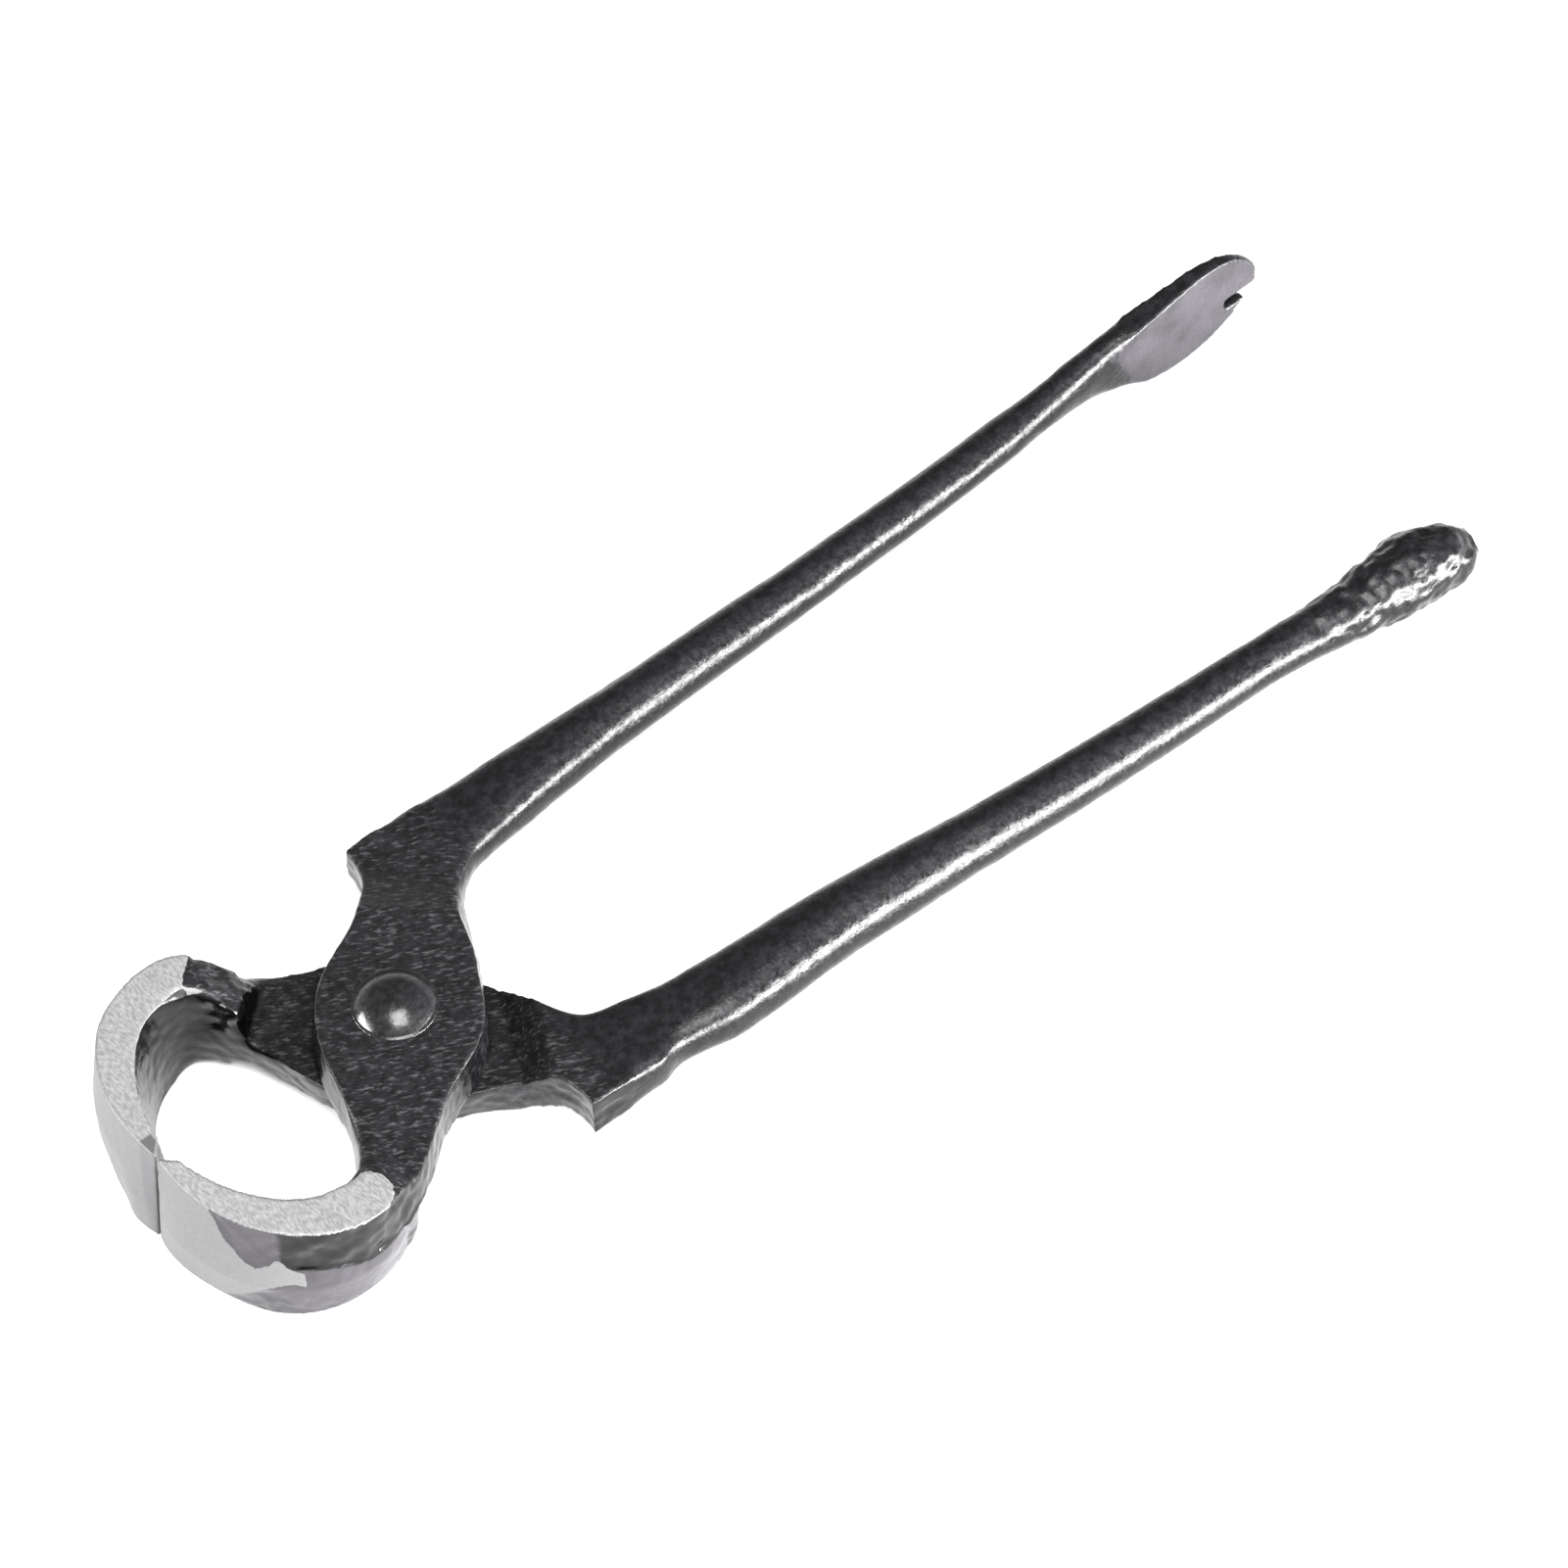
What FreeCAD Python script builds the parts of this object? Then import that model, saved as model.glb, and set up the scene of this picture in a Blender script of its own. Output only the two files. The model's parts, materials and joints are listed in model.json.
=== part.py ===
import FreeCAD
import Part
import math
import os

# Hoof nipper: two forged levers in a half-lap, turning on one rivet.
# Working frame of the functions below, in millimetres: origin on the rivet's axis in the
# lap plane, +X towards the handles, +Z up out of the face that carries the domed head.
# Both levers are drawn as the upper one, with its jaw on -Y and its rein on +Y.
# The lower lever is that kind of forging turned over about X.

# Driving dimensions
BOSS_THICK = 8.0             # thickness of each lever at the pivot
LAP_GAP = 0.1                # play between the two lap faces
JAW_HALF = 10.6              # half the width of the jaws, along Z
EDGE_GAP = 0.2               # light between the two cutting edges when closed
SPADE_HALF = 4.2             # half thickness of the flat root of each rein
SHANK_R = 4.0                # rivet shank
RUN_CLEARANCE = 0.05         # radial play of the shank in the lower lever
DOME_R = 6.8                 # rivet's domed head
DOME_RISE = 3.2
COLLAR_R = 7.2               # thin flash ring squeezed out under the dome
COLLAR_THICK = 0.35
PEEN_R = 6.2                 # peened foot of the rivet, under the lower lever
PEEN_RISE = 1.8
PEEN_PLAY = 0.05
TIP_X = 209.0                # tip of the nail claw
BLADE_Y = 27.9               # flat inner side of the claw, at the lap plane
BLADE_LEAN = 4.5             # degrees that this side leans, its lower edge inwards
SLOT_WIDTH = 2.0             # nail slot in the claw
SLOT_LENGTH = 7.6
SLOT_LEVEL = -1.9

OUT = "parts"


def vec(x, y, z=0.0):
    return FreeCAD.Vector(x, y, z)


def run_edge(points):
    """One edge through the points: a line for two of them, a smooth spline for more."""
    if len(points) == 2:
        return Part.makeLine(points[0], points[1])
    curve = Part.BSplineCurve()
    curve.interpolate(points)
    return curve.toShape()


def closed_runs(*runs):
    """Outline of runs that meet at corners. Each run starts where the one before it ended."""
    whole = [list(runs[0])]
    for run in runs[1:]:
        whole.append([whole[-1][-1], *run])
    whole.append([whole[-1][-1], whole[0][0]])
    return whole


def outline_wire(runs, level):
    return Part.Wire([run_edge([vec(x, y, level) for x, y in run]) for run in runs])


def prism(runs, low, high):
    """Upright solid over a plan outline."""
    return Part.Face(outline_wire(runs, low)).extrude(vec(0, 0, high - low))


def drafted(upper, middle, lower):
    """Forging with draft: straight walls from a middle outline to one above and one below.

    Each of the three is a pair: the outline's runs, and its level.
    """
    wires = [outline_wire(*pair) for pair in (upper, middle, lower)]
    return Part.makeLoft(wires[:2], True, True).fuse(Part.makeLoft(wires[1:], True, True))


def wedge(line_start, line_end, profile):
    """Bar along a plan line. The profile gives (distance to the line's left, height)."""
    start = vec(*line_start)
    along = vec(*line_end) - start
    side = vec(-along.y, along.x).normalize()
    corners = [start + side * offset + vec(0, 0, level) for offset, level in profile]
    return Part.Face(Part.makePolygon(corners + corners[:1])).extrude(along)


def section(x, y, half_wide, half_high, power):
    """Closed smooth section across X: a circle at power 2, squarer above it."""
    corner_count = 16
    points = []
    for step in range(corner_count):
        angle = 2 * math.pi * step / corner_count
        c, s = math.cos(angle), math.sin(angle)
        across = math.copysign(abs(c) ** (2 / power), c) * half_wide
        upward = math.copysign(abs(s) ** (2 / power), s) * half_high
        points.append(vec(x, y + across, upward))
    curve = Part.BSplineCurve()
    curve.interpolate(points, PeriodicFlag=True)
    return Part.Wire(curve.toShape())


# Plan outlines shared by both levers: edge of the outer face, and the wider lap plane
THROAT_FACE = [(-26, -22.7), (-21, -17), (-17, -8), (-14.8, 0), (-10, 8.6), (-2, 14.4), (4, 17.2)]
THROAT_LAP = [(-26, -22.7), (-22.1, -17.5), (-18.2, -8.3), (-15.9, 0.2), (-10.8, 9.5), (-2.5, 15.4), (3.6, 18.3)]
BACK_FACE = [(13.1, -5.9), (9.4, -11.9), (2.5, -16.3), (-5, -20), (-13, -26), (-22, -30.9)]
BACK_LAP = [(13.8, -6.0), (9.9, -12.2), (3.0, -16.9), (-4.8, -20.4), (-12.8, -26.3), (-22, -30.9)]

# Plan outlines of the jaw: at its upper side face, at its fullest level and at its lower side face
JAW_FULL_LEVEL = -3.0
JAW_UPPER = {"outer": [(-48.2, -EDGE_GAP / 2), (-48.4, -7), (-47.6, -13.5), (-45.4, -19.5), (-41.5, -25.2),
                       (-36, -29.8), (-29.5, -32.1), (-22, -30.9)],
             "root": [(-17, -27), (-16, -22), (-21, -17)],
             "inner": [(-31.5, -23.1), (-38, -19), (-43.5, -10.5), (-45.7, -2.7)]}
JAW_FULL = {"outer": [(-49.3, -EDGE_GAP / 2), (-50.9, -5.5), (-50.4, -12), (-48, -19.4), (-43.4, -25.8),
                      (-36.8, -30.3), (-29.5, -31.8), (-21, -29.6)],
            "root": [(-17, -27), (-16, -22), (-22.1, -17.5)],
            "inner": [(-31.0, -22.0), (-37.2, -17.9), (-42.0, -10.2), (-43.9, -4.2)]}
JAW_LOWER = {"outer": [(-49.9, -EDGE_GAP / 2), (-50.7, -4.5), (-50.1, -10.5), (-48.1, -17.2), (-44.1, -24.6),
                       (-37.6, -29.2), (-29.6, -30.4), (-20.8, -28.2)],
             "root": [(-17, -27), (-16, -22), (-22.1, -17.5)],
             "inner": [(-31.0, -22.0), (-37.2, -17.9), (-42.0, -10.2), (-44.1, -4.6)]}
SHOULDER = [(-32, -4.0), (-3, -29.3)]            # foot of the jaw's rear wall, in the lap plane
SHOULDER_RUN = 1.2
NOSE = [(-26, -10), (-21, -40)]                  # where the jaw's lap side starts to round off behind
RAMP_FOOT = [(15.2, 8.5), (9.4, 21.0)]           # where the heel starts to thicken past the lap
RAMP_RUN = 5.0

# Heel and rein root of each lever: outer end of the heel, then the inner side of the root
CLAW_HEEL = {"heel": [(8.6, 20.8), (12, 24.8), (13.8, 32.2)], "root": [(30, 33.4), (30, 17.6)],
             "face": [(27, 15.6), (21.1, 10.9), (16.4, 0)], "lap": [(27, 16.2), (22.4, 9.9), (17.5, 0)], "under": -2.6}
KNOB_HEEL = {"heel": [(8.6, 21.0), (12, 25.0), (13.6, 34.0)], "root": [(30, 35.0), (30, 20.0)],
             "face": [(25, 18.6), (19.6, 13.2), (16.0, 2)], "lap": [(25, 19.2), (20.6, 12.6), (17.3, 2)], "under": -4.2}


def boss(heel):
    """Half-lap plate from the jaw's neck to the heel, sloping down to the rein's root."""
    face = closed_runs([*THROAT_FACE, *heel["heel"]], heel["root"][:1], heel["root"][1:],
                       [*heel["face"], *BACK_FACE])
    lap_plane = closed_runs([*THROAT_LAP, *heel["heel"]], heel["root"][:1], heel["root"][1:],
                            [*heel["lap"], *BACK_LAP])
    plate = drafted((face, BOSS_THICK), (lap_plane, 0), (face, -BOSS_THICK))
    slope_start, slope_end, reach = 19.0, 29.0, 80
    top = wedge((40, -40), (-40, 40),
                [(-slope_start, BOSS_THICK), (-slope_end, SPADE_HALF), (-reach, SPADE_HALF),
                 (-reach, reach), (-slope_start, reach)])
    foot_start, foot_end = (vec(*point) for point in RAMP_FOOT)
    along = (foot_end - foot_start).normalize() * 60
    lap = wedge((foot_start - along)[:2], (foot_end + along)[:2],
                [(-RAMP_RUN, heel["under"]), (0, LAP_GAP / 2), (reach, LAP_GAP / 2), (reach, -reach),
                 (-reach, -reach), (-reach, heel["under"])])
    return plate.cut(top).cut(lap)


def jaw(over):
    """Deep curved jaw with an inside bevel at the cutting edge and a sloping rear wall.

    The two jaws are ground as one pair, so over is -1 on the lever that is to be turned over.
    """
    wires = []
    for plan, level in ((JAW_UPPER, JAW_HALF), (JAW_FULL, JAW_FULL_LEVEL), (JAW_LOWER, -JAW_HALF)):
        outline = closed_runs(plan["outer"], plan["root"], [(-26, -22.7), *plan["inner"]])
        wires.append((outline, level * over))
    body = drafted(*wires[::over])
    flank = [[(-6, -14)], [(-5, -18.6), (-12, -24), (-20.5, -28.0)]]
    neck = [prism(closed_runs([(-21, -17), (-17, -8)], *flank), 0, BOSS_THICK),
            prism(closed_runs([(-22.1, -17.5), (-19.5, -12)], *flank), -JAW_HALF, 0)]
    rear = wedge(*SHOULDER, [(0, LAP_GAP / 2), (-SHOULDER_RUN, -JAW_HALF - 1), (60, -JAW_HALF - 1),
                             (60, LAP_GAP / 2)])
    crown = wedge((-24.2, -10), (-20.8, -40),
                  [(0, JAW_HALF + 1), (0, JAW_HALF), (4.5, BOSS_THICK), (60, BOSS_THICK), (60, JAW_HALF + 1)])
    nose = wedge(*NOSE, [(0, -JAW_HALF - 1), (0, -JAW_HALF), (3, -9.9), (6.5, -8.0), (9.5, -5.0), (12, -1),
                         (60, -1), (60, -JAW_HALF - 1)])
    return body.fuse(neck).cut([rear, crown, nose])


# Sections of each rein: x, y, half width, half height, squareness
CLAW_REIN = [(24, 25.3, 8.0, 4.2, 5), (38.7, 26.2, 6.8, 4.6, 3), (58.7, 26.9, 5.4, 5.0, 2.2),
             (98.7, 27.6, 4.45, 4.45, 2), (138.7, 28.7, 3.9, 3.9, 2), (158.7, 29.9, 3.7, 4.0, 2),
             (171, 30.6, 3.2, 5.0, 2.2), (181, 30.7, 2.5, 6.4, 2.6)]
KNOB_REIN = [(24, 26.9, 8.0, 4.2, 5), (38.7, 28.3, 6.9, 4.9, 3), (58.7, 29.3, 6.5, 5.7, 2.2),
             (98.7, 31.9, 5.1, 5.1, 2), (138.7, 34.4, 4.45, 4.45, 2), (163.7, 35.7, 4.4, 4.4, 2),
             (176, 36.8, 5.6, 5.6, 2), (186.5, 37.0, 6.9, 6.9, 2), (192, 37.8, 6.3, 6.3, 2),
             (195.9, 38.3, 4.8, 4.8, 2), (198.4, 38.3, 2.8, 2.8, 2)]


def rein(sections):
    return Part.makeLoft([section(*row) for row in sections], True, False)


def claw():
    """Flat spoon-shaped end of the upper rein, on edge, with a slot for pulling nails."""
    spoon = outline_wire(closed_runs(
        [(166, 4.0), (180, 5.4), (188, 6.8), (195, 8.2), (201, 8.5), (206, 6.6), (TIP_X, 2.2)],
        [(208.2, -1.0), (205.0, -4.0), (199.4, -7.0), (193, -8.5), (186, -8.3), (180, -6.7), (166, -3.8)]), 0)
    spoon.rotate(vec(0, 0, 0), vec(1, 0, 0), 90)
    blade = Part.Face(spoon).extrude(vec(0, 60, 0))
    flat_side = [(150, BLADE_Y), (220, BLADE_Y)]
    plan = prism(closed_runs(flat_side, [(220, BLADE_Y + 0.9), (TIP_X, 29.3)],
                             [(200, 30.7), (190, 31.8), (180, 33.0), (166, 33.0)], [(150, 33)]), -20, 20)
    plan.rotate(vec(0, BLADE_Y, 0), vec(1, 0, 0), -BLADE_LEAN)
    slot = Part.makeBox(SLOT_LENGTH + 10, 20, SLOT_WIDTH,
                        vec(TIP_X - SLOT_LENGTH, 20, SLOT_LEVEL - SLOT_WIDTH / 2))
    return blade.common(plan).cut(slot)


def lever(heel, rein_sections, hole_r, ends, over=1):
    body = boss(heel).fuse([jaw(over), rein(rein_sections), *ends])
    hole = Part.makeCylinder(hole_r, 60, vec(0, 0, -30))
    return body.cut(hole)


def turned_over(shape):
    whole = shape.copy()
    whole.rotate(vec(0, 0, 0), vec(1, 0, 0), 180)
    return whole


def cap(radius, rise):
    """Spherical cap on the plane z = 0."""
    ball_r = (radius ** 2 + rise ** 2) / (2 * rise)
    ball = Part.makeSphere(ball_r, vec(0, 0, rise - ball_r))
    return ball.common(Part.makeCylinder(radius, rise + 1))


def pivot_rivet():
    """Solid rivet: shank, domed head on a thin flash ring, and a peened foot."""
    foot = -BOSS_THICK - PEEN_PLAY
    shank = Part.makeCylinder(SHANK_R, BOSS_THICK - foot, vec(0, 0, foot))
    collar = Part.makeCylinder(COLLAR_R, COLLAR_THICK, vec(0, 0, BOSS_THICK))
    dome = cap(DOME_R, DOME_RISE)
    dome.translate(vec(0, 0, BOSS_THICK + COLLAR_THICK))
    peen = turned_over(cap(PEEN_R, PEEN_RISE))
    peen.translate(vec(0, 0, foot))
    return shank.fuse([collar, dome, peen]).removeSplitter()


def main():
    os.makedirs(OUT, exist_ok=True)
    nodes = {
        "claw_lever": lever(CLAW_HEEL, CLAW_REIN, SHANK_R, [claw()]),
        "knob_lever": turned_over(lever(KNOB_HEEL, KNOB_REIN, SHANK_R + RUN_CLEARANCE, [], over=-1)),
        "pivot_rivet": pivot_rivet(),
    }
    box = Part.makeCompound(list(nodes.values())).optimalBoundingBox(False)
    origin = vec((box.XMin + box.XMax) / 2, (box.YMin + box.YMax) / 2, box.ZMin)
    print("pivot at", -origin, "size", box.XLength, box.YLength, box.ZLength)
    for name, shape in nodes.items():
        shape.translate(-origin)
        print(name, shape.isValid(), len(shape.Solids), round(shape.Volume), "mm3")
        shape.Solids[0].exportStep(f"{OUT}/{name}.step")


main()
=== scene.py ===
"""Hoof nipper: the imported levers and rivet, remade as forged steel with scale, lacquer and ground jaws."""

import json
import math

import bmesh
import bpy
import numpy as np
from mathutils import Matrix, Vector, noise
from mathutils.bvhtree import BVHTree


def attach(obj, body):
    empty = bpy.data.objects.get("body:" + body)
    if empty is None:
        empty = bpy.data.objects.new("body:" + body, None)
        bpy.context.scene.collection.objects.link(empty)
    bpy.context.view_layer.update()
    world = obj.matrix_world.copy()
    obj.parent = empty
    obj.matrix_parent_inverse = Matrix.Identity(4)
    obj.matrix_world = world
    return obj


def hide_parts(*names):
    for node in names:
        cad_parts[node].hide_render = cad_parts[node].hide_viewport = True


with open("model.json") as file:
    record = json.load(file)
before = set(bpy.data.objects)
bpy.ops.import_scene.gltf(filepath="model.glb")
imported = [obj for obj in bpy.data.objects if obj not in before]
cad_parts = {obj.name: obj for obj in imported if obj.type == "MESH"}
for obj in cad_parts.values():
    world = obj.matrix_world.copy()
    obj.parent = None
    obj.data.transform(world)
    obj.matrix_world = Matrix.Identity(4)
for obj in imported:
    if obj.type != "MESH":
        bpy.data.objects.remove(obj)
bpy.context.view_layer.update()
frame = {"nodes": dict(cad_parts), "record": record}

MM = 1000.0
PIVOT = np.array(frame["record"]["behaviour"]["joints"][0]["pos_m"])
LEVER_VOXEL = 0.43            # mm, size of the faces that the levers are remade from
RIVET_VOXEL = 0.2
GROUND_LEVEL = 10.42          # mm from the lap plane, just under the ground side faces of the jaws
THROAT_X, THROAT_U = -24.0, 4.0      # mm from the pivot, middle of each jaw's curve


# ---------------------------------------------------------------- mesh tools

def smoothstep(low, high, value):
    t = np.clip((value - low) / (high - low), 0.0, 1.0)
    return t * t * (3.0 - 2.0 * t)


def field(points, wavelength, seed, squash=(1.0, 1.0, 1.0)):
    """Smooth noise from -1 to 1 at each point, with the given wavelength in mm."""
    scaled = points * np.array(squash) / wavelength + seed * 17.31
    return np.array([noise.noise(p) for p in scaled.tolist()]) * 1.8


class Skin:
    """A CAD node remeshed into even small faces, with its points in mm from the pivot."""

    def __init__(self, node, voxel):
        source = frame["nodes"][node].data.copy()
        bm = bmesh.new()
        bm.from_mesh(source)
        bmesh.ops.remove_doubles(bm, verts=bm.verts, dist=1e-6)
        bm.to_mesh(source)
        bm.free()
        rough = bpy.data.objects.new("rough", source)
        bpy.context.scene.collection.objects.link(rough)
        remesh = rough.modifiers.new("remesh", "REMESH")
        remesh.mode = "VOXEL"
        remesh.voxel_size = voxel / MM
        graph = bpy.context.evaluated_depsgraph_get()
        self.mesh = bpy.data.meshes.new_from_object(rough.evaluated_get(graph))
        self.cad = BVHTree.FromObject(frame["nodes"][node], graph)
        bpy.data.objects.remove(rough)
        count = len(self.mesh.vertices)
        flat = np.empty(count * 3)
        self.mesh.vertices.foreach_get("co", flat)
        self.at = (flat.reshape(-1, 3) - PIVOT) * MM
        ends = np.empty(len(self.mesh.edges) * 2, dtype=np.int64)
        self.mesh.edges.foreach_get("vertices", ends)
        self.first, self.second = ends[0::2], ends[1::2]
        self.degree = np.bincount(ends, minlength=count)[:, None]

    def mean(self, values):
        """Mean of each point's neighbours."""
        total = np.empty_like(values)
        for axis in range(values.shape[1]):
            column = values[:, axis]
            total[:, axis] = (np.bincount(self.first, column[self.second], len(column))
                              + np.bincount(self.second, column[self.first], len(column)))
        return total / self.degree

    def relax(self, weight, rounds):
        """Rounds off edges where weight is above 0, without shrinking what is already round."""
        weight = weight[:, None]
        for _ in range(rounds):
            self.at += 0.62 * weight * (self.mean(self.at) - self.at)
            self.at -= 0.58 * weight * (self.mean(self.at) - self.at)

    def melt(self, weight, rounds):
        """Plain smoothing, for corners that the forging dies leave full and round."""
        weight = 0.5 * weight[:, None]
        for _ in range(rounds):
            self.at += weight * (self.mean(self.at) - self.at)

    def onto_cad(self, weight):
        """Moves points back onto the CAD surface, by weight."""
        for i in np.flatnonzero(weight > 0.0):
            place = Vector(self.at[i] / MM + PIVOT)
            found = self.cad.find_nearest(place)[0]
            self.at[i] += weight[i] * ((np.array(found) - PIVOT) * MM - self.at[i])

    def normals(self):
        self.store()
        flat = np.empty(len(self.at) * 3)
        self.mesh.vertices.foreach_get("normal", flat)
        return flat.reshape(-1, 3)

    def store(self):
        self.mesh.vertices.foreach_set("co", (self.at / MM + PIVOT).ravel())
        self.mesh.update()

    def paint(self, name, values):
        layer = self.mesh.attributes.new(name, "FLOAT", "POINT")
        layer.data.foreach_set("value", np.asarray(values, dtype=np.float32))

    def piece(self, name, node, body, material):
        self.store()
        for face in self.mesh.polygons:
            face.use_smooth = True
        self.mesh.materials.clear()
        self.mesh.materials.append(material)
        made = bpy.data.objects.new(name, self.mesh)
        bpy.context.scene.collection.objects.link(made)
        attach(made, body)
        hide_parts(node)
        return made


# ---------------------------------------------------------------- materials

def new_material(name):
    made = bpy.data.materials.new(name)
    made.use_nodes = True
    tree = made.node_tree
    tree.nodes.clear()
    out = tree.nodes.new("ShaderNodeOutputMaterial")
    shader = tree.nodes.new("ShaderNodeBsdfPrincipled")
    tree.links.new(shader.outputs["BSDF"], out.inputs["Surface"])
    return made, tree, shader


class Nodes:
    """Short calls for the shader nodes that the materials share."""

    def __init__(self, tree):
        self.tree = tree
        self.place = tree.nodes.new("ShaderNodeTexCoord").outputs["Object"]

    def add(self, kind, **inputs):
        node = self.tree.nodes.new(kind)
        for key, value in inputs.items():
            self.set(node.inputs[key.replace("_", " ")], value)
        return node

    def set(self, socket, value):
        if isinstance(value, bpy.types.NodeSocket):
            self.tree.links.new(value, socket)
        else:
            socket.default_value = value

    def math(self, operation, first, second=0.0, third=0.0):
        node = self.tree.nodes.new("ShaderNodeMath")
        node.operation = operation
        for socket, value in zip(node.inputs, (first, second, third)):
            self.set(socket, value)
        return node.outputs[0]

    def attribute(self, name):
        node = self.tree.nodes.new("ShaderNodeAttribute")
        node.attribute_name = name
        return node.outputs["Fac"]

    def noise(self, wavelength, detail=2.0, roughness=0.5, stretch=(1, 1, 1), turn=0.0):
        place = self.tree.nodes.new("ShaderNodeMapping")
        place.vector_type = "TEXTURE"
        self.set(place.inputs["Vector"], self.place)
        place.inputs["Rotation"].default_value = (0.0, 0.0, turn)
        place.inputs["Scale"].default_value = stretch
        node = self.add("ShaderNodeTexNoise", Vector=place.outputs[0], Scale=MM / wavelength,
                        Detail=detail, Roughness=roughness)
        return node.outputs["Fac"]

    def ramp(self, value, low, high):
        node = self.add("ShaderNodeMapRange", Value=value)
        node.interpolation_type = "SMOOTHSTEP"
        node.inputs["From Min"].default_value = low
        node.inputs["From Max"].default_value = high
        return node.outputs["Result"]

    def mix(self, factor, first, second):
        node = self.tree.nodes.new("ShaderNodeMix")
        node.data_type = "FLOAT"
        self.set(node.inputs[0], factor)
        self.set(node.inputs[2], first)
        self.set(node.inputs[3], second)
        return node.outputs[0]

    def colour(self, factor, first, second):
        node = self.tree.nodes.new("ShaderNodeMix")
        node.data_type = "RGBA"
        self.set(node.inputs[0], factor)
        self.set(node.inputs[6], first)
        self.set(node.inputs[7], second)
        return node.outputs[2]

    def bump(self, height, distance, strength, under=None):
        node = self.add("ShaderNodeBump", Height=height, Distance=distance / MM, Strength=strength)
        if under is not None:
            self.set(node.inputs["Normal"], under)
        return node.outputs["Normal"]


def forged_material():
    made, tree, shader = new_material("forged_steel")
    n = Nodes(tree)
    ground_at = n.attribute("ground")
    coarse = n.attribute("coarse")
    sheen_reflection_at = n.attribute("sheen_reflection")
    strip = n.attribute("strip")
    side_shade = n.attribute("side_shade")
    wall = n.attribute("wall")

    jag = n.math("MULTIPLY_ADD", n.noise(1.1, 3.0, 0.6), 1.1, -0.55)
    ground = n.ramp(n.math("ADD", jag, ground_at), -0.05, 0.05)
    speck = n.noise(0.75, 4.0, 0.65)
    grain = n.noise(1.7, 3.0, 0.55)
    cloud = n.noise(8.0, 3.0, 0.5)
    dash = n.noise(0.55, 3.0, 0.6, stretch=(3.2, 1.0, 1.0), turn=math.radians(-30))
    brush = n.noise(0.33, 3.0, 0.55, stretch=(1.0, 3.0, 1.0))

    black = n.colour(n.ramp(grain, 0.35, 0.7), (0.0065, 0.0062, 0.0068, 1), (0.014, 0.0135, 0.015, 1))
    # Painted shade: on steep walls the lighter scale flecks fade out and the lacquer is darkened to nearly
    # black
    flecks = n.math("MULTIPLY", coarse, n.math("MULTIPLY_ADD", wall, -0.85, 1.0))
    black = n.colour(n.math("MULTIPLY", flecks, n.ramp(dash, 0.52, 0.68)), black, (0.055, 0.054, 0.057, 1))
    black = n.colour(wall, black, (0.0015, 0.0015, 0.0017, 1))
    # Painted reflection: lilac-grey tone of the floor seen in the side walls, laid over the black lacquer
    lilac_reflection = n.colour(n.ramp(cloud, 0.3, 0.7), (0.021, 0.0197, 0.0226, 1), (0.039, 0.036, 0.0417, 1))
    ragged = n.math("MULTIPLY_ADD", n.noise(1.4, 4.0, 0.7), 1.0, -0.5)
    sheen_reflection = n.ramp(n.math("ADD", ragged, sheen_reflection_at), 0.25, 0.75)
    paint = n.colour(sheen_reflection, black, lilac_reflection)
    steel = n.colour(n.ramp(brush, 0.3, 0.7), (0.22, 0.22, 0.22, 1), (0.37, 0.37, 0.37, 1))
    steel = n.colour(n.ramp(cloud, 0.25, 0.5), n.colour(0.15, steel, (0.2, 0.2, 0.2, 1)), steel)
    # Painted shade: ground steel on faces turned away from the lap plane is darkened
    steel = n.colour(n.math("MULTIPLY", side_shade, 0.85), steel, (0.105, 0.105, 0.105, 1))
    steel = n.colour(strip, steel, (0.115, 0.115, 0.118, 1))
    n.set(shader.inputs["Base Color"], n.colour(ground, paint, steel))

    glossy = n.math("MULTIPLY_ADD", n.math("SUBTRACT", speck, 0.5), 0.9, 0.26)
    scaly = n.math("MULTIPLY_ADD", n.math("SUBTRACT", speck, 0.5), 0.30, n.mix(wall, 0.40, 0.22))
    n.set(shader.inputs["Roughness"], n.mix(ground, n.mix(coarse, glossy, scaly), 0.5))
    n.set(shader.inputs["Metallic"], n.math("MULTIPLY", ground, 0.35))
    shader.inputs["IOR"].default_value = 1.36

    lump = n.bump(grain, 0.07, n.mix(coarse, 0.45, 0.9))
    fine = n.bump(n.mix(coarse, speck, dash), 0.26, n.mix(coarse, 0.4, n.mix(wall, 0.62, 0.15)), lump)
    brushed = n.bump(brush, 0.008, 0.5)
    blend = tree.nodes.new("ShaderNodeMix")
    blend.data_type = "VECTOR"
    n.set(blend.inputs[0], ground)
    n.set(blend.inputs[4], fine)
    n.set(blend.inputs[5], brushed)
    n.set(shader.inputs["Normal"], blend.outputs[1])
    return made


def rivet_material():
    made, tree, shader = new_material("rivet_steel")
    n = Nodes(tree)
    grain = n.noise(1.3, 3.0, 0.55)
    speck = n.noise(0.5, 3.0, 0.6)
    n.set(shader.inputs["Base Color"],
          n.colour(n.ramp(grain, 0.35, 0.7), (0.007, 0.007, 0.0075, 1), (0.016, 0.016, 0.017, 1)))
    n.set(shader.inputs["Roughness"], n.mix(n.ramp(speck, 0.3, 0.7), 0.15, 0.28))
    shader.inputs["IOR"].default_value = 1.5
    n.set(shader.inputs["Normal"], n.bump(speck, 0.03, 0.5, n.bump(grain, 0.06, 0.6)))
    return made


# ---------------------------------------------------------------- the two levers

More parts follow.
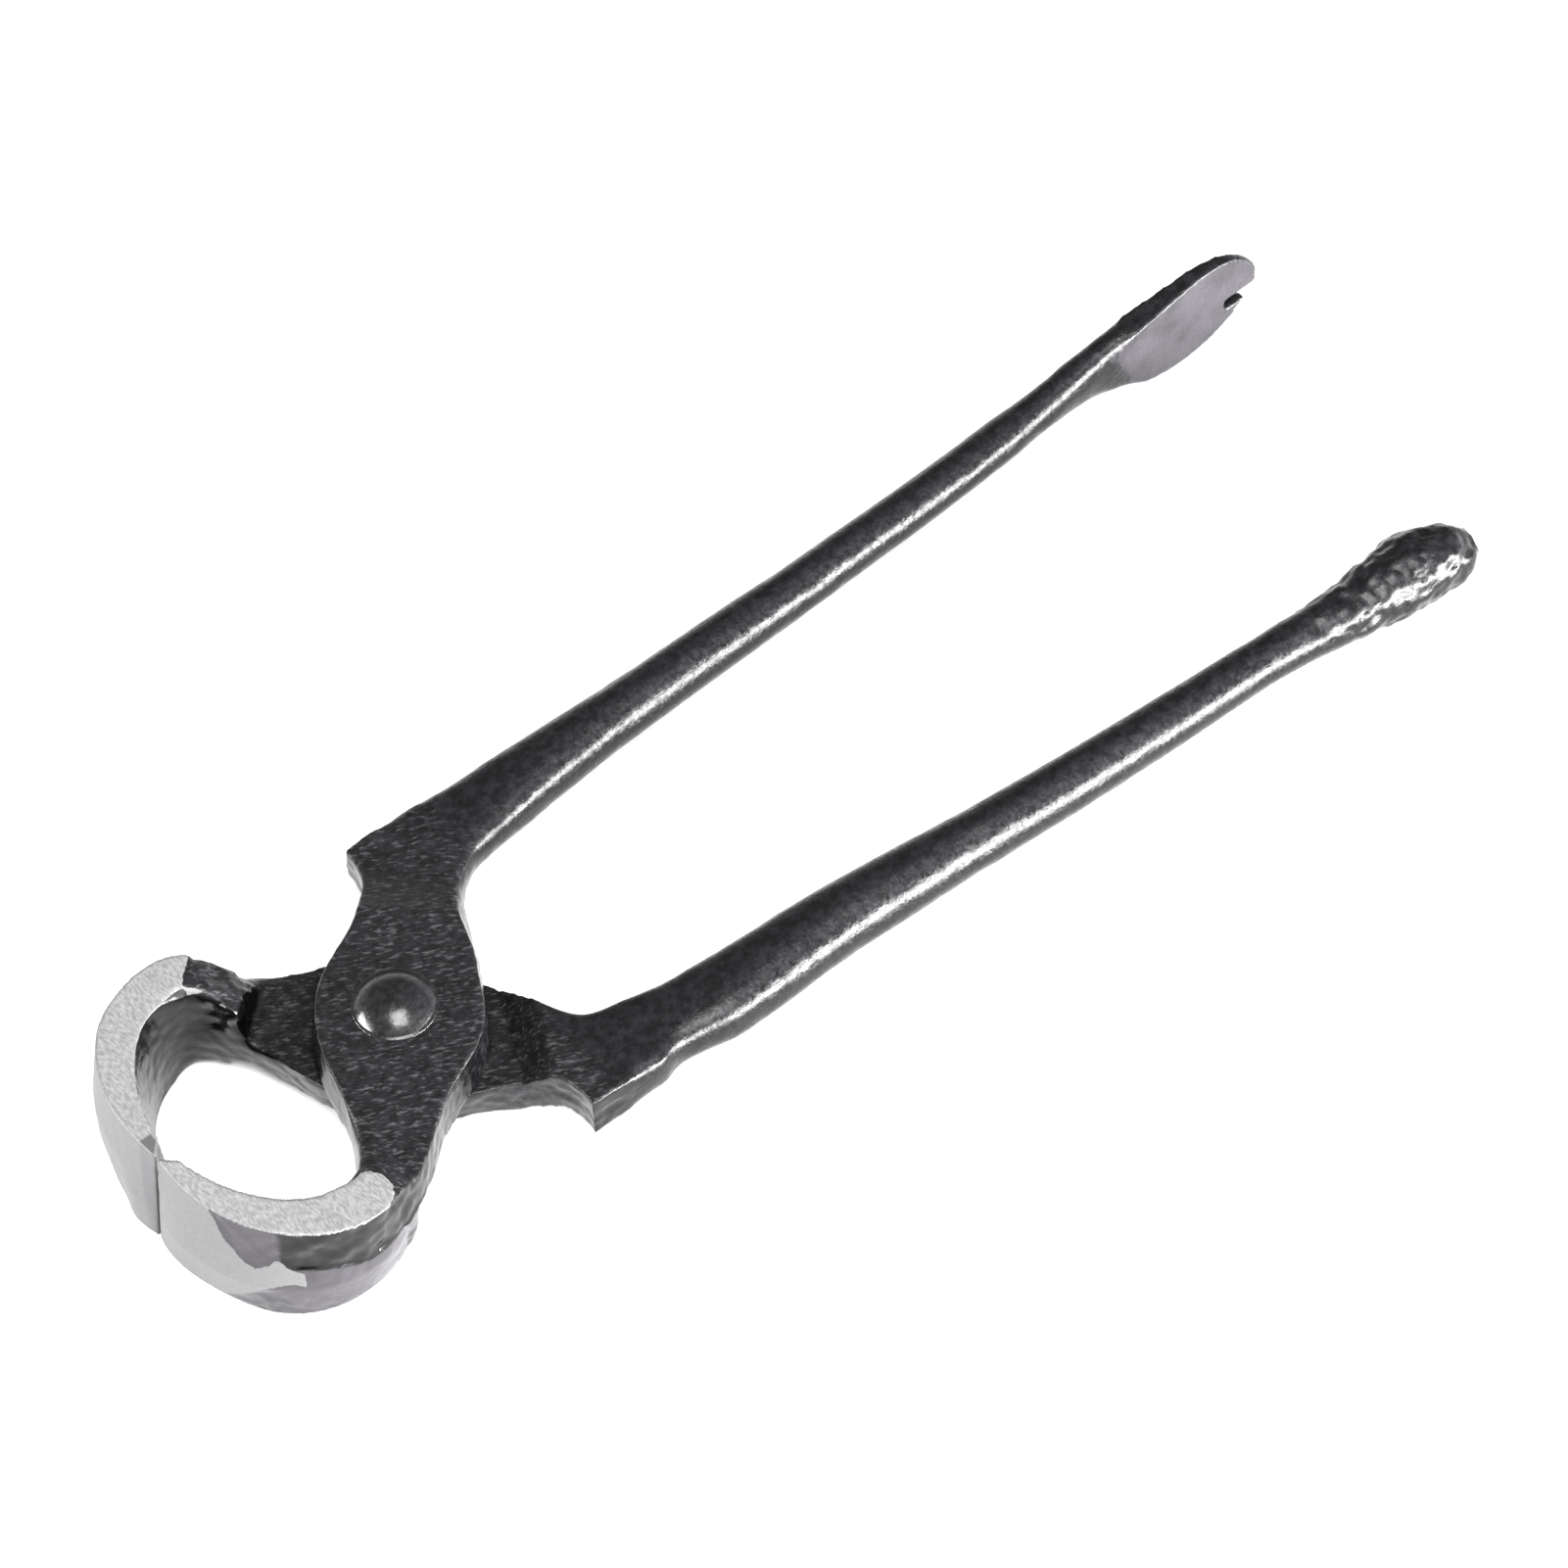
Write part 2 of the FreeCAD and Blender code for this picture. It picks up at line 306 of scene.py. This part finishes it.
# Edge of the ground patch on the outer side of the upper jaw: degrees round the throat, height in mm
PATCH_TOP = ([20, 24, 27, 31, 35, 39, 44, 46, 48, 51, 55],
             [10.8, 8.8, 6.1, 4.2, 2.1, 1.1, 2.4, 3.9, 3.8, 2.0, 1.1])
PATCH_FOOT = ([0, 20, 33, 42, 48, 52, 55], [-14, -12, -7.5, -3.5, -1.9, -1.5, -2.2])
# Parting line behind that patch: degrees round the throat, height in mm
FLASH_LINE = ([50, 65, 78, 96, 110], [2.0, 1.3, -0.4, 0.2, 2.0])
# Rear end of the lower jaw's ground top: mm out from the tool's axis, x in mm
LOWER_REAR = ([20, 22, 24, 25.5, 28, 30], [-22.3, -22.7, -25.0, -23.6, -20.7, -19.5])
# Half way through the jaw's wall: degrees round the throat, mm from the throat's middle
OUTER_REACH = ([-12, 0, 30, 60, 90], [24.0, 23.6, 22.3, 23.5, 25.5])


def jaw_angle(x, u):
    """Degrees round the throat, from the cutting edge at about 0 to the jaw's root at about 95."""
    return np.degrees(np.arctan2(u - THROAT_U, -(x - THROAT_X)))


def throat_reach(x, u):
    """Distance in mm from the middle of the throat."""
    return np.hypot(x - THROAT_X, u - THROAT_U)


def ground_depth(x, u, z, upper):
    """How far inside a ground area a point lies, in mm, below 0 outside."""
    angle = jaw_angle(x, u)
    reach = throat_reach(x, u)
    top = (z - GROUND_LEVEL) * 4.0
    foot = (-GROUND_LEVEL - z) * 4.0
    rear = (84 - angle) * 0.4
    if upper:
        patch = np.minimum(np.interp(angle, *PATCH_TOP) - z, z - np.interp(angle, *PATCH_FOOT))
        patch = np.minimum(patch, (55.5 - angle) * 0.45)
        patch = np.where(angle < 20.0, 3.0, patch)
        top = np.minimum(top, np.where(x > -27.0, 4.5 - np.hypot(x + 27.0, u - 27.6), 3.0))
    else:
        patch = (63 - angle) * 0.4
        top = np.where(x > -25.0, (z - 9.6) * 4.0, top)
        top = np.minimum(top, (np.interp(u, *LOWER_REAR) - x) * 0.8)
    patch = np.minimum(patch, (reach - np.interp(angle, *OUTER_REACH)) * 3.0)
    depth = np.maximum(np.maximum(top, np.minimum(foot, rear)), patch)
    return np.clip(np.minimum(depth, -x - 17.0), -3.0, 3.0)


def sheen_reflection_depth(x, y, u, z, normal, upper):
    """From 0 to 1, how much lilac-grey painted reflection of the floor lies on the side walls over the black
    lacquer.
    """
    angle = jaw_angle(x, u)
    wall = smoothstep(0.55, 0.25, normal[:, 2])
    past_middle = throat_reach(x, u) - np.interp(angle, *OUTER_REACH)
    outward = smoothstep(-1.0, 1.0, past_middle) * smoothstep(-10.0, -16.0, x)
    below = smoothstep(0.4, -0.2, z - np.interp(angle, *FLASH_LINE))
    near_patch = smoothstep(52.0, 44.0, angle)
    jaw = outward * np.maximum(below, near_patch) if upper else outward * 0.8
    # Painted reflection also on walls near the pivot facing +x or -x, and on the claw's face turned to -y
    back = smoothstep(-16.0, -10.0, x) * smoothstep(24.0, 18.0, x) * smoothstep(0.1, 0.5, normal[:, 0])
    heel = smoothstep(4.0, 8.0, x) * smoothstep(24.0, 16.0, x) * smoothstep(-0.2, -0.6, normal[:, 0])
    claw = (smoothstep(174.0, 182.0, x + 0.35 * z) * smoothstep(-0.7, -0.9, normal[:, 1])) if upper else 0.0
    return np.maximum(wall * np.maximum(jaw, np.maximum(0.35 * back, 0.45 * heel)), 0.9 * claw)


def trim_lower_jaw(skin):
    """The lower lever's jaw is a little slimmer round its outer side than the upper lever's."""
    x, y, z = skin.at.T
    angle = jaw_angle(x, y)
    reach = throat_reach(x, y)
    amount = 1.1 * smoothstep(50.0, 75.0, angle) * smoothstep(-6.0, 4.0, z)
    amount += 0.9 * smoothstep(2.0, 14.0, angle) * smoothstep(60.0, 40.0, angle) * smoothstep(3.0, -4.0, z)
    middle = np.interp(angle, *OUTER_REACH)
    amount *= smoothstep(middle - 2.0, middle + 1.0, reach) * smoothstep(-14.0, -19.0, x)
    scale = 1.0 - amount / reach
    skin.at[:, 0] = THROAT_X + (x - THROAT_X) * scale
    skin.at[:, 1] = THROAT_U + (y - THROAT_U) * scale


def lever(node, body, upper, material):
    skin = Skin(node, LEVER_VOXEL)
    side = -1.0 if upper else 1.0
    x, y, z = skin.at.T
    skin.onto_cad(np.where(x < -15.0, 1.0, 0.6))
    in_jaw = smoothstep(-15.0, -22.0, x)
    worked = ground_depth(x, side * y, z, upper) > -0.8
    skin.relax(np.where(worked, 0.15, 1.0 - 0.2 * in_jaw), 9)
    x, y, z = skin.at.T
    lap = smoothstep(0.7, 0.2, np.abs(z)) * smoothstep(-19.0, -16.0, x) * smoothstep(19.0, 15.0, x)
    skin.onto_cad(lap * 0.98)
    if not upper:
        trim_lower_jaw(skin)
    x, y, z = skin.at.T
    u = side * y
    lapward = z if upper else -z
    root = smoothstep(-30.0, -26.0, x) * smoothstep(-17.5, -20.0, x) * smoothstep(25.0, 22.0, u)
    corner = smoothstep(-21.0, -17.0, x) * smoothstep(-6.0, -9.0, x) * smoothstep(19.0, 22.0, u) * (x < 0)
    neck = smoothstep(19.0, 25.0, x) * smoothstep(44.0, 36.0, x)
    claw_start = smoothstep(152.0, 160.0, x) * smoothstep(184.0, 176.0, x) if upper else 0.0
    skin.melt(np.maximum(root, corner * smoothstep(1.5, -1.5, lapward)), 70)
    skin.melt(np.maximum(neck, claw_start), 90)

    x, y, z = skin.at.T
    u = side * y
    angle = jaw_angle(x, u)
    ground = ground_depth(x, u, z, upper)
    forged = smoothstep(0.1, -0.9, ground)
    normal = skin.normals()
    knob = 0.0 if upper else smoothstep(160.0, 174.0, x)
    head = smoothstep(38.0, 20.0, x) if upper else smoothstep(22.0, 16.0, x)
    rear_lump = smoothstep(-25.0, -21.0, x) * smoothstep(-6.0, -14.0, x) * smoothstep(1.0, 4.0, z)
    nose = 0.0 if upper else rear_lump
    wave = smoothstep(-22.0, -18.0, x) * smoothstep(26.0, 20.0, x) * smoothstep(1.5, 0.5, np.abs(z))
    depth = 0.06 + 0.13 * field(skin.at, 16.0, 1) + 0.06 * field(skin.at, 5.0, 2)
    depth += (0.03 + 0.05 * head) * field(skin.at, 1.9, 3)
    depth += knob * (0.10 + 0.26 * field(skin.at, 4.2, 4) + 0.22 * field(skin.at, 1.9, 5))
    depth += nose * (0.25 + 0.5 * field(skin.at, 4.0, 6) + 0.2 * field(skin.at, 1.8, 7))
    depth += wave * (0.12 + 0.16 * field(skin.at, 2.6, 8, (1.0, 0.5, 1.0)))
    if upper:
        outward = smoothstep(-1.0, 1.0, throat_reach(x, u) - np.interp(angle, *OUTER_REACH))
        above = z - np.interp(angle, *FLASH_LINE)
        band = outward * smoothstep(44.0, 54.0, angle) * smoothstep(118.0, 100.0, angle) * in_jaw
        depth += band * smoothstep(-0.1, 0.7, above) * (0.30 + 0.22 * field(skin.at, 3.0, 9))
        depth -= band * 0.12 * np.exp(-(above / 0.35) ** 2)
    depth = np.maximum(depth, 0.0)
    skin.at -= normal * (depth * forged)[:, None]

    skin.paint("ground", ground)
    skin.paint("coarse", head)
    # Painted reflection mask for the lilac-grey tone on the side walls
    skin.paint("sheen_reflection", sheen_reflection_depth(x, y, u, z, normal, upper))
    # Painted shade mask for the ground steel: 1 on faces turned away from the lap plane
    skin.paint("side_shade", smoothstep(0.99, 0.85, np.abs(normal[:, 2])))
    # Steep faces: painted shade on the black lacquer, and the roughness and bump of the scale there
    skin.paint("wall", smoothstep(0.7, 0.3, np.abs(normal[:, 2])))
    strip = np.zeros(len(x)) if upper else smoothstep(0.15, -0.15, u - 2.7 - 0.15 * z) * (x < -46.0)
    skin.paint("strip", strip)
    name = "claw_lever_forging" if upper else "knob_lever_forging"
    return skin.piece(name, node, body, material)


def rivet(material):
    skin = Skin("pivot_rivet", RIVET_VOXEL)
    skin.onto_cad(np.ones(len(skin.at)))
    skin.relax(np.ones(len(skin.at)), 6)
    return skin.piece("pivot_rivet_head", "pivot_rivet", "claw_half", material)


forged = forged_material()
lever("claw_lever", "claw_half", True, forged)
lever("knob_lever", "knob_half", False, forged)
rivet(rivet_material())

# ---------------------------------------------------------------- floor, light, camera

scene = bpy.context.scene


def floor():
    mesh = bpy.data.meshes.new("floor")
    mesh.from_pydata([(-4, -4, 0), (4, -4, 0), (4, 4, 0), (-4, 4, 0)], [], [(0, 1, 2, 3)])
    made = bpy.data.objects.new("floor", mesh)
    scene.collection.objects.link(made)
    paint, _, shader = new_material("floor_paper")
    shader.inputs["Base Color"].default_value = (0.92, 0.92, 0.92, 1)
    shader.inputs["Roughness"].default_value = 0.9
    mesh.materials.append(paint)


def softbox(name, azimuth, height, distance, size, power):
    """An area light that faces the tool from the given direction."""
    a, e = math.radians(azimuth), math.radians(height)
    towards = Vector((math.cos(a) * math.cos(e), math.sin(a) * math.cos(e), math.sin(e)))
    lamp = bpy.data.lights.new(name, "AREA")
    lamp.shape = "RECTANGLE"
    lamp.size, lamp.size_y = size
    lamp.energy = power
    made = bpy.data.objects.new(name, lamp)
    made.location = towards * distance
    made.rotation_euler = towards.to_track_quat("Z", "Y").to_euler()
    scene.collection.objects.link(made)


def surroundings():
    world = bpy.data.worlds.new("studio")
    world.use_nodes = True
    tree = world.node_tree
    back = tree.nodes["Background"]
    n = Nodes(tree)
    split = n.add("ShaderNodeSeparateXYZ", Vector=tree.nodes.new("ShaderNodeTexCoord").outputs["Generated"])
    low = n.ramp(split.outputs["Z"], 0.35, 0.02)
    n.set(back.inputs["Color"], n.colour(low, (0.15, 0.15, 0.155, 1), (0.85, 0.85, 0.87, 1)))
    scene.world = world


floor()
surroundings()
softbox("key", -115, 64, 1.3, (0.72, 0.72), 27)
softbox("front_strip", -70, 7, 0.9, (0.9, 0.18), 60)
softbox("left_strip", 155, 14, 0.8, (0.5, 0.14), 11)

# Angles in degrees and lengths in mm; aim is from the pivot, and right and up shift the whole camera
CAMERA = {"azimuth": -35.95, "elevation": 54.0, "roll": -4.0, "distance": 1500.0, "lens": 212.4922,
          "aim": (0.0, 0.0, 8.0), "right": 63.0730, "up": 35.8111}
SENSOR = 36.0


def camera():
    a, e, r = (math.radians(CAMERA[k]) for k in ("azimuth", "elevation", "roll"))
    right = Vector((math.cos(a), math.sin(a), 0.0))
    back = Vector((math.sin(a) * math.cos(e), -math.cos(a) * math.cos(e), math.sin(e)))
    up = back.cross(right)
    across = right * math.cos(r) + up * math.sin(r)
    above = up * math.cos(r) - right * math.sin(r)
    stand = (Vector(CAMERA["aim"]) + back * CAMERA["distance"]
             + across * CAMERA["right"] + above * CAMERA["up"])
    lens = bpy.data.cameras.new("camera")
    lens.sensor_width = SENSOR
    lens.lens = CAMERA["lens"]
    lens.clip_start = 0.05
    lens.clip_end = 20.0
    made = bpy.data.objects.new("camera", lens)
    turn = Matrix((across, above, back)).transposed()
    made.matrix_world = Matrix.Translation(stand / MM + Vector(PIVOT)) @ turn.to_4x4()
    scene.collection.objects.link(made)
    scene.camera = made


camera()
scene.view_settings.view_transform = "Standard"
